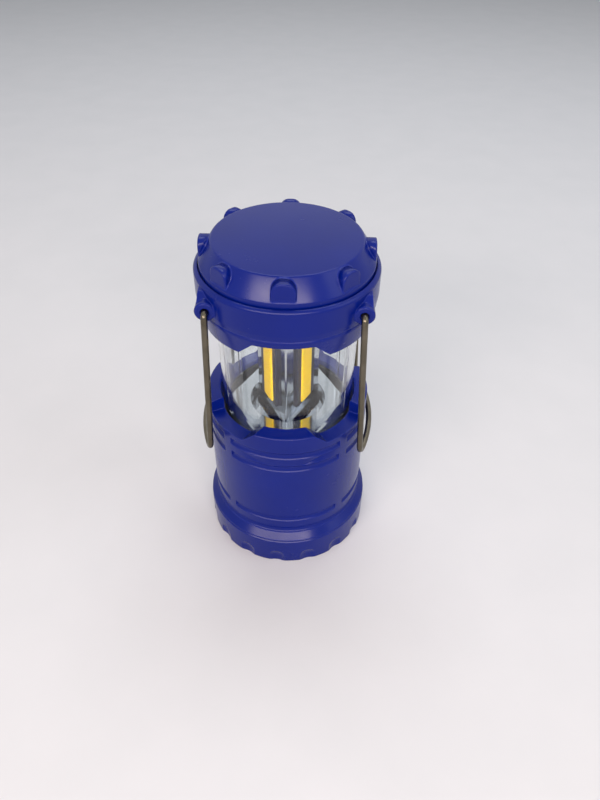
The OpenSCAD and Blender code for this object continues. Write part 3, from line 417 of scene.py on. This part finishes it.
class LanternSizes(bpy.types.PropertyGroup):
    """Sizes of the cap, the light strips and the wire bails, and the lamps' power"""

    dome_h: bpy.props.FloatProperty(
        name="Dome height", description="Height of the dome's cone", default=6.4 * MM, unit="LENGTH")
    dome_skirt: bpy.props.FloatProperty(
        name="Dome skirt", description="Height of the wall below the cone", default=4 * MM, unit="LENGTH")
    dome_run: bpy.props.FloatProperty(
        name="Dome run", description="From the dome's edge in to its flat top", default=4.15 * MM,
        unit="LENGTH")
    dome_wall: bpy.props.FloatProperty(
        name="Dome wall", description="Thickness of the dome", default=1.8 * MM, unit="LENGTH")
    lug_count: bpy.props.IntProperty(
        name="Lugs", description="Number of grip lugs", default=8, min=1, max=12)
    lug_w: bpy.props.FloatProperty(
        name="Lug width", description="Width of a grip lug", default=7.1 * MM, unit="LENGTH")
    lug_h: bpy.props.FloatProperty(
        name="Lug height", description="From a lug's foot to its top", default=5.75 * MM, unit="LENGTH")
    lug_drop: bpy.props.FloatProperty(
        name="Lug drop", description="From the flat top down to a lug's top", default=0.45 * MM,
        unit="LENGTH")
    lug_inset: bpy.props.FloatProperty(
        name="Lug inset", description="From the dome's edge in to a lug's front", default=0.4 * MM,
        unit="LENGTH")
    lug_round: bpy.props.FloatProperty(
        name="Lug corner", description="Radius of a lug's upper corners", default=3 * MM, unit="LENGTH")
    lug_edge: bpy.props.FloatProperty(
        name="Lug edge", description="Radius round a lug's front edge", default=0.45 * MM, unit="LENGTH")
    column_screw_r: bpy.props.FloatProperty(
        name="Column screws", description="From the axis to a screw of the column", default=14.462 * MM,
        unit="LENGTH")
    cap_screw_r: bpy.props.FloatProperty(
        name="Cap screws", description="From the axis to a screw of the cap", default=19.962 * MM,
        unit="LENGTH")
    boss_r: bpy.props.FloatProperty(
        name="Boss", description="Radius of a screw boss in the cap", default=2.4 * MM, unit="LENGTH")
    boss_bore_r: bpy.props.FloatProperty(
        name="Boss bore", description="Radius of the bore that a screw bites in", default=1.1 * MM,
        unit="LENGTH")
    boss_bore_l: bpy.props.FloatProperty(
        name="Boss bore depth", description="Depth of a boss's bore", default=3.6 * MM, unit="LENGTH")
    strip_w: bpy.props.FloatProperty(
        name="Strip width", description="Width of a light strip", default=6.4 * MM, unit="LENGTH")
    strip_t: bpy.props.FloatProperty(
        name="Strip thickness", description="Height of a strip's bead", default=0.55 * MM, unit="LENGTH")
    strip_root: bpy.props.FloatProperty(
        name="Strip root", description="From the axis to a strip's back", default=7.5 * MM, unit="LENGTH")
    wire_radius: bpy.props.FloatProperty(
        name="Wire radius", description="Radius of the bail wire", default=1.025 * MM, unit="LENGTH")
    bail_length: bpy.props.FloatProperty(
        name="Bail length", description="From a bail's hinge to its bar", default=56.3 * MM, unit="LENGTH")
    bail_corner: bpy.props.FloatProperty(
        name="Bail corner", description="Radius of a bail's lower corners", default=4 * MM, unit="LENGTH")
    bail_bar: bpy.props.FloatProperty(
        name="Bail bar", description="Radius of a bail's bowed bar", default=58 * MM, unit="LENGTH")
    bail_lean: bpy.props.FloatProperty(
        name="Bail lean", description="Outward lean of a hanging bail", default=math.radians(2.5),
        subtype="ANGLE")
    leg_y: bpy.props.FloatProperty(
        name="Leg", description="From the middle plane to a bail's leg", default=22.2 * MM, unit="LENGTH")
    ear_face_y: bpy.props.FloatProperty(
        name="Ear face", description="From the middle plane to an ear's face", default=20.8 * MM,
        unit="LENGTH")
    pin_depth: bpy.props.FloatProperty(
        name="Pin depth", description="Depth of a bail's pin in its ear", default=4.2 * MM, unit="LENGTH")
    key_light: bpy.props.FloatProperty(
        name="Key light", description="Power of the wide front lamp in watts", default=9.5)
    top_light: bpy.props.FloatProperty(
        name="Top light", description="Power of the overhead lamp in watts", default=5.0)


# ---- Pieces ----


def lug_outline(inset):
    """The D of a lug's front, (x, z), drawn in by inset: quarter circles round the four corners' centres,
    whose radii are the corners' less the inset."""
    sizes = bpy.context.scene.lantern_sizes
    half_w, upper_r, lower_r = sizes.lug_w / 2, sizes.lug_round, 0.6 * MM
    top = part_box("top_cap")[1].z - sizes.lug_drop
    foot = top - sizes.lug_h
    upper_z, lower_z = top - upper_r, foot + lower_r
    corners = ((1, upper_z, upper_r, 0), (-1, upper_z, upper_r, 90),
               (-1, lower_z, lower_r, 180), (1, lower_z, lower_r, 270))
    arcs = []
    for side, centre_z, radius, start in corners:
        a = np.radians(np.linspace(start, start + 90, 14))
        arcs.append(np.stack([side * (half_w - radius) + (radius - inset) * np.cos(a),
                              centre_z + (radius - inset) * np.sin(a)], 1))
    return np.concatenate(arcs)


def grip_lug(azimuth):
    """A lug as rings of its front outline: straight out from the middle of the dome's wall, which leans as
    the cone does, then round its front edge by inset = e (1 - cos t) and reach = e sin t, and over its flat
    front."""
    sizes = bpy.context.scene.lantern_sizes
    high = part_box("top_cap")[1]
    face, edge, gap = high.x - sizes.lug_inset, sizes.lug_edge, 0.1 * MM
    t = np.radians(np.linspace(0, 90, 8))
    insets = [0, *(edge * (1 - np.cos(t))), edge + gap]
    outs = [face - edge - gap, *(face - edge + edge * np.sin(t)), face]
    outline = lug_outline(0)
    above = outline[:, 1] - (high.z - sizes.dome_h)
    root = high.x - sizes.dome_run * above / sizes.dome_h - sizes.dome_wall / 2
    rings = [np.stack([outline[:, 0], -np.minimum(root, outs[0] - gap), outline[:, 1]], 1)]
    for inset, out in zip(insets, outs):
        outline = lug_outline(inset)
        rings.append(np.stack([outline[:, 0], np.full(len(outline), -out), outline[:, 1]], 1))
    return at_azimuth(np.stack(rings), azimuth)


def screw_bosses(roof_z, foot_z, ring_r, first_azimuth):
    """Three bosses in thirds of a turn, each a turned profile with a blind bore up from its foot."""
    sizes = bpy.context.scene.lantern_sizes
    boss_r, bore_r, pole_r = sizes.boss_r, sizes.boss_bore_r, 0.05 * MM
    bore_top = foot_z + sizes.boss_bore_l
    profile = np.array([(pole_r, roof_z), (boss_r, roof_z), (boss_r, foot_z), (bore_r, foot_z),
                        (bore_r, bore_top), (pole_r, bore_top)])
    turns = np.radians(first_azimuth + np.array([0, 120, 240]))
    return [turned(profile, 32, (ring_r * math.sin(a), -ring_r * math.cos(a))) for a in turns]


def domed_cap():
    """The cap: a turned dome whose edges are arcs, hollow below, with its lugs and six screw bosses."""
    sizes = bpy.context.scene.lantern_sizes
    low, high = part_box("top_cap")
    radius, top, wall, run = high.x, high.z, sizes.dome_wall, sizes.dome_run
    edge_z = top - sizes.dome_h
    foot_z = edge_z - sizes.dome_skirt
    pole_r = 0.3 * MM
    corners = {
        (radius - run, top): 0.8 * MM,
        (radius, edge_z): 0.45 * MM,
        (radius, foot_z): 0.2 * MM,
        (radius - wall, foot_z): 0.2 * MM,
        (radius - wall, edge_z): 0.3 * MM,
        (radius - run - wall, top - wall): 0.5 * MM,
    }
    profile = rounded_run([(pole_r, top), *corners, (pole_r, top - wall)], corners.values())
    roof_z = top - wall + 0.2 * MM
    return solid("domed_cap", [
        turned(profile, 256),
        *(grip_lug(i * 360 / sizes.lug_count) for i in range(sizes.lug_count)),
        *screw_bosses(roof_z, low.z, sizes.column_screw_r, 60),
        *screw_bosses(roof_z, foot_z, sizes.cap_screw_r, 0),
    ])


class LANTERN_OT_shells(bpy.types.Operator):
    """Gives the moulded shells their satin ABS, and rounds the cap's edges and lugs"""

    bl_idname = "lantern.shells"
    bl_label = "Blue shells"

    def execute(self, context):
        abs_blue = moulded_abs()
        dress(abs_blue, "cap_ring", "base_shell", "bottom_cover")
        add_piece(domed_cap(), abs_blue, "head", "blue_shell", "top_cap")
        return {"FINISHED"}


class LANTERN_OT_chimney(bpy.types.Operator):
    """Gives the chimney its clear polystyrene"""

    bl_idname = "lantern.chimney"
    bl_label = "Chimney"

    def execute(self, context):
        dress(clear_polystyrene(), "chimney")
        return {"FINISHED"}


def phosphor_strip(side, azimuth):
    """A dispensed bead of silicone on its board. Across the strip, at a share u of the half width, the bead
    is t * (1 - |u|^6)^(1/3) thick, where t is the strip's thickness. Over the last 1.2 mm towards either end
    t and the width close in by (1 - (1 - v)^4)^(1/2), where v is the share of that length. Between the chips
    t sags by up to 3 %."""
    sizes = bpy.context.scene.lantern_sizes
    low, high = (corner.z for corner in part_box(f"led_strip_{side}"))
    rows, half_columns, end_l, sag = 180, 20, 1.2 * MM, 0.03
    z = low + (high - low) * (1 - np.cos(np.pi * np.linspace(0, 1, rows))) / 2
    v = np.clip(np.minimum(z - low, high - z) / end_l, 0, 1)
    closing = (1 - (1 - v) ** 4) ** 0.5
    chips = 1 - sag * (0.5 + 0.5 * np.cos(2 * np.pi * (z - low) / CHIP_PITCH))
    half_w = sizes.strip_w / 2 * (0.55 + 0.45 * closing)
    thick = sizes.strip_t * (0.12 + 0.88 * closing) * chips
    u = np.cos(np.linspace(0, np.pi, half_columns))
    lift = (1 - np.abs(u) ** 6) ** (1 / 3)
    x = np.concatenate([half_w[:, None] * u, half_w[:, None] * u[::-1]], 1)
    out = np.concatenate([sizes.strip_root + thick[:, None] * lift,
                          np.full((rows, half_columns), sizes.strip_root)], 1)
    points = np.stack([x, -out, np.repeat(z[:, None], 2 * half_columns, 1)], -1)
    return solid(f"phosphor_strip_{side}", [at_azimuth(points, azimuth)])


class LANTERN_OT_light_column(bpy.types.Operator):
    """Chromes the column, the reflector and the holder below it, and dresses the boards and strips"""

    bl_idname = "lantern.light_column"
    bl_label = "Light column"

    def execute(self, context):
        dress(chrome_on_abs(), "light_column", "reflector", "battery_holder")
        mask = moulded_dull("solder_mask_dark", "#14162A", "#1C1E33", 0.4, 0.35, 1.5)
        phosphor = phosphor_silicone()
        for side, azimuth in FLAT_AZIMUTHS.items():
            dress(mask, f"led_board_{side}")
            add_piece(phosphor_strip(side, azimuth), phosphor, "head", "phosphor", f"led_strip_{side}")
        return {"FINISHED"}


def arc(centre, start, end, steps):
    """Points of the circle round centre from start to end, at equal turns: centre + a cos t + b sin t."""
    a = start - centre
    radius = np.linalg.norm(a)
    towards = end - centre
    b = towards - a * (towards @ a) / radius ** 2
    b *= radius / np.linalg.norm(b)
    turn = np.arccos(np.clip(a @ towards / radius / np.linalg.norm(towards), -1, 1))
    t = np.linspace(0, turn, steps)[:, None]
    return centre + a * np.cos(t) + b * np.sin(t)


def bail_path():
    """Centre line of the right bail in its own frame, hinge axis along Y at the origin, hanging down. Its
    front half is a straight pin, a quarter bend, a straight leg, a quarter corner and half of the bowed bar;
    the rear half is the same with -y for y."""
    sizes = bpy.context.scene.lantern_sizes
    leg_y, face_y, pin = sizes.leg_y, sizes.ear_face_y, sizes.pin_depth
    corner, bar, length = sizes.bail_corner, sizes.bail_bar, sizes.bail_length
    # Half of the bar's bow, so that its end meets the quarter corner at the leg.
    half = math.asin(leg_y / math.hypot(bar, corner)) - math.atan(corner / bar)
    centre_x = corner * math.sin(half) - bar * math.cos(half)
    bar_end = np.array([centre_x + bar * math.cos(half), -bar * math.sin(half), -length])
    bend = leg_y - face_y
    pin_end = np.array([0, -face_y, 0])
    leg_top, leg_foot = np.array([0, -leg_y, -bend]), np.array([0, -leg_y, corner - length])
    runs = [
        np.linspace(pin_end + (0, pin, 0), pin_end, 6)[:-1],
        arc(pin_end - (0, 0, bend), pin_end, leg_top, 14),
        np.linspace(leg_top, leg_foot, 40)[1:-1],
        arc(bar_end + (0, 0, corner), leg_foot, bar_end, 20),
        arc(np.array([centre_x, 0, -length]), bar_end, np.array([centre_x + bar, 0, -length]), 40)[1:],
    ]
    front = np.concatenate(runs)
    return np.concatenate([front, front[-2::-1] * (1, -1, 1)])


def wire_bail(side):
    """A drawn wire swept along the bail's path. At each point the section is a circle of 28 points, in a
    frame that the path carries along without twist: each next side vector is the last one less its share
    along the next direction. At a length s along the wire the radius is less by
    0.3 % * (2 - sin(s / 3.7 mm) - sin(s / 1.3 mm)), and it narrows over the last 0.4 mm at both ends. The
    left bail is the right one with -x for x."""
    sizes = bpy.context.scene.lantern_sizes
    path = bail_path()
    ahead = np.gradient(path, axis=0)
    ahead /= np.linalg.norm(ahead, axis=1)[:, None]
    across = np.empty_like(path)
    across[0] = (1, 0, 0)
    for i in range(1, len(path)):
        moved = across[i - 1] - ahead[i] * (across[i - 1] @ ahead[i])
        across[i] = moved / np.linalg.norm(moved)
    beside = np.cross(ahead, across)
    run = np.concatenate([[0], np.cumsum(np.linalg.norm(np.diff(path, axis=0), axis=1))])
    waver = 2 - np.sin(run / (3.7 * MM)) - np.sin(run / (1.3 * MM))
    radius = sizes.wire_radius * (1 - 0.003 * waver)
    radius *= 0.82 + 0.18 * smooth_step(0, 0.4 * MM, np.minimum(run, run[-1] - run))
    t = np.arange(28) * 2 * np.pi / 28
    ring = across[:, None] * np.cos(t)[None, :, None] + beside[:, None] * np.sin(t)[None, :, None]
    x, y, z = np.moveaxis(path[:, None] + ring * radius[:, None, None], -1, 0)
    cos, sin, hinge = math.cos(sizes.bail_lean), math.sin(sizes.bail_lean), AXLES["bail_right"]
    points = np.stack([x * cos - z * sin + hinge.x, y, x * sin + z * cos + hinge.z], -1)
    if side == "left":
        points = points[:, ::-1] * (-1, 1, 1)
    uv = np.stack(np.broadcast_arrays((t / (2 * np.pi))[None, :], run[:, None] / (10 * MM)), -1)
    return solid(f"wire_bail_{side}", [points], uv)


class LANTERN_OT_bails(bpy.types.Operator):
    """Gives the wire bails their dull nickel"""

    bl_idname = "lantern.bails"
    bl_label = "Wire bails"

    def execute(self, context):
        wire = drawn_nickel_wire()
        for side in ("left", "right"):
            add_piece(wire_bail(side), wire, f"handle_{side}", "bail_wire", f"handle_{side}")
        return {"FINISHED"}


class LANTERN_OT_inner_parts(bpy.types.Operator):
    """Dresses the screws, contacts, cells, springs and seals"""

    bl_idname = "lantern.inner_parts"
    bl_label = "Inner parts"

    def execute(self, context):
        dress(rolled_metal("steel_zinc_plated", "#8F9296", "#B5B8BC", 0.3, 0.3),
              "cap_screws", "column_screws", "holder_screws")
        dress(rolled_metal("brass_spring_strip", "#A98442", "#CDAA62", 0.25, 0.22),
              "contact_finger_left", "contact_finger_right")
        dress(rolled_metal("steel_nickel_plated", "#A7A9AB", "#C9CBCD", 0.25, 0.2),
              "output_contact", "bridge_contact", "contact_rail_left", "contact_rail_right",
              "cover_bridge", "cover_return", "spring_rear", "spring_left", "spring_right")
        dress(moulded_dull("rubber_nitrile", "#121212", "#1E1E1D", 0.3, 0.6, 1.52),
              "friction_band", "cover_seal")
        dress(moulded_dull("pvc_shrink_sleeve", "#35704A", "#468459", 0.6, 0.25, 1.53),
              "cell_rear", "cell_left", "cell_right")
        return {"FINISHED"}


# ---- Studio ----


def floor_material():
    """Seamless paper: a pale, dull sheet that keeps the shadow."""
    material, tree, output, place = new_material("paper_seamless")
    fibres = add_node(tree, "ShaderNodeTexNoise", {"Scale": per_metre(30), "Detail": 4.0}, {"Vector": place})
    colour = bpy.context.scene.lantern_colours.floor
    tone = add_node(tree, "ShaderNodeMix", {"A": linear(colour), "B": linear("#E0E1E3")},
                    {"Factor": fibres.outputs["Fac"]}, data_type="RGBA")
    shader = add_node(tree, "ShaderNodeBsdfPrincipled", {"Roughness": 0.9, "Specular IOR Level": 0.2},
                      {"Base Color": tone.outputs["Result"]})
    tree.links.new(shader.outputs["BSDF"], output.inputs["Surface"])
    return material


def area_lamp(name, azimuth, elevation, distance, size, watts, colour):
    """Lamp of that width and height on a sphere round the lantern, aimed at its middle. Angles are in
    degrees, azimuth 0 is in front, and lengths are in metres."""
    middle = Vector((0, 0, 0.07))
    a, e = math.radians(azimuth), math.radians(elevation)
    out = Vector((math.sin(a) * math.cos(e), -math.cos(a) * math.cos(e), math.sin(e)))
    lamp = bpy.data.lights.new(name, "AREA")
    lamp.shape = "RECTANGLE"
    lamp.size, lamp.size_y = size
    lamp.energy = watts
    lamp.color = linear(colour)[:3]
    holder = bpy.data.objects.new(name, lamp)
    holder.location = middle + out * distance
    holder.rotation_euler = out.to_track_quat("Z", "Y").to_euler()
    bpy.context.scene.collection.objects.link(holder)


def front_camera():
    """Camera that looks down at the lantern from in front, a little to the right of its middle."""
    focal_px, frame_w_px, frame_h_px, sensor_mm = 638.234, 600, 800, 36.0
    place = Vector((7.622, -174.573, 214.791)) * MM
    pitch, yaw, roll = 0.73356, math.radians(-1.0255), 0.015044
    forward = Vector((math.sin(yaw) * math.cos(pitch), math.cos(yaw) * math.cos(pitch), -math.sin(pitch)))
    level = Vector((math.cos(yaw), -math.sin(yaw), 0))
    upward = level.cross(forward)
    right = level * math.cos(roll) + upward * math.sin(roll)
    up = upward * math.cos(roll) - level * math.sin(roll)
    camera = bpy.data.cameras.new("camera")
    camera.sensor_fit = "VERTICAL"
    camera.sensor_height = sensor_mm
    camera.sensor_width = sensor_mm * frame_w_px / frame_h_px
    camera.lens = focal_px * sensor_mm / frame_h_px
    camera.clip_start = 10 * MM
    holder = bpy.data.objects.new("camera", camera)
    turn = Matrix((right, up, -forward)).transposed()
    holder.matrix_world = Matrix.Translation(place) @ turn.to_4x4()
    bpy.context.scene.collection.objects.link(holder)
    bpy.context.scene.camera = holder


def paper_floor(reach):
    """A square sheet on the ground plane, from -reach to reach each way."""
    mesh = bpy.data.meshes.new("studio_floor")
    mesh.from_pydata([(-reach, -reach, 0), (reach, -reach, 0), (reach, reach, 0), (-reach, reach, 0)],
                     [], [(0, 1, 2, 3)])
    mesh.materials.append(floor_material())
    floor = bpy.data.objects.new("studio_floor", mesh)
    bpy.context.scene.collection.objects.link(floor)
    return floor


def studio_world():
    """A world that is pale where it is seen, straight, in a mirror or through glass, and lights softly."""
    world = bpy.data.worlds.new("studio")
    world.use_nodes = True
    tree = world.node_tree
    tree.nodes.clear()
    ray = add_node(tree, "ShaderNodeLightPath")
    straight = add_node(tree, "ShaderNodeMath", {}, {0: ray.outputs["Is Camera Ray"],
                                                    1: ray.outputs["Is Transmission Ray"]},
                        operation="MAXIMUM")
    shown = add_node(tree, "ShaderNodeMath", {}, {0: straight.outputs["Value"],
                                                 1: ray.outputs["Is Glossy Ray"]},
                     operation="MAXIMUM")
    pale = add_node(tree, "ShaderNodeBackground", {"Color": linear("#F2F3F4"), "Strength": 1.0})
    soft = add_node(tree, "ShaderNodeBackground", {"Color": linear("#E8ECF2"), "Strength": 0.3})
    both = add_node(tree, "ShaderNodeMixShader", {},
                    {"Fac": shown.outputs["Value"], 1: soft.outputs["Background"],
                     2: pale.outputs["Background"]})
    output = add_node(tree, "ShaderNodeOutputWorld")
    tree.links.new(both.outputs["Shader"], output.inputs["Surface"])
    return world


class LANTERN_OT_stage(bpy.types.Operator):
    """Lays out the pale floor, the soft lamps, the world and the camera"""

    bl_idname = "lantern.stage"
    bl_label = "Studio"

    def execute(self, context):
        sizes = context.scene.lantern_sizes
        paper_floor(3.0)
        area_lamp("key_lamp", -8, 34, 0.9, (1.2, 0.15), sizes.key_light, "#FFEDE4")
        area_lamp("top_lamp", 176, 66, 1.1, (0.9, 0.4), sizes.top_light, "#F6F9FF")
        area_lamp("side_lamp", 75, 35, 1.0, (0.6, 0.6), sizes.key_light * 0.2, "#F6F9FF")
        context.scene.world = studio_world()
        front_camera()
        context.scene.view_settings.view_transform = "Standard"
        return {"FINISHED"}


class LANTERN_PT_panel(bpy.types.Panel):
    """Lists the lantern's pieces in the 3D view's sidebar"""

    bl_idname = "LANTERN_PT_panel"
    bl_label = "Camping Lantern"
    bl_space_type = "VIEW_3D"
    bl_region_type = "UI"
    bl_category = "Lantern"

    def draw(self, context):
        for group in (context.scene.lantern_colours, context.scene.lantern_sizes):
            for name in group.bl_rna.properties.keys():
                if name not in {"rna_type", "name"}:
                    self.layout.prop(group, name)
        for operator in OPERATORS:
            self.layout.operator(operator.bl_idname)


OPERATORS = (
    LANTERN_OT_stage,
    LANTERN_OT_shells,
    LANTERN_OT_chimney,
    LANTERN_OT_light_column,
    LANTERN_OT_bails,
    LANTERN_OT_inner_parts,
)
CLASSES = (LanternColours, LanternSizes, *OPERATORS, LANTERN_PT_panel)


def register():
    """Registers the classes and hangs the settings on the scene"""
    for cls in CLASSES:
        bpy.utils.register_class(cls)
    bpy.types.Scene.lantern_colours = bpy.props.PointerProperty(type=LanternColours)
    bpy.types.Scene.lantern_sizes = bpy.props.PointerProperty(type=LanternSizes)


def unregister():
    """Takes back what register did, in the opposite order"""
    del bpy.types.Scene.lantern_sizes
    del bpy.types.Scene.lantern_colours
    for cls in reversed(CLASSES):
        bpy.utils.unregister_class(cls)


def main():
    """Runs every operator in order"""
    register()
    for operator in OPERATORS:
        group, name = operator.bl_idname.split(".")
        getattr(getattr(bpy.ops, group), name)()


if __name__ == "__main__":
    main()
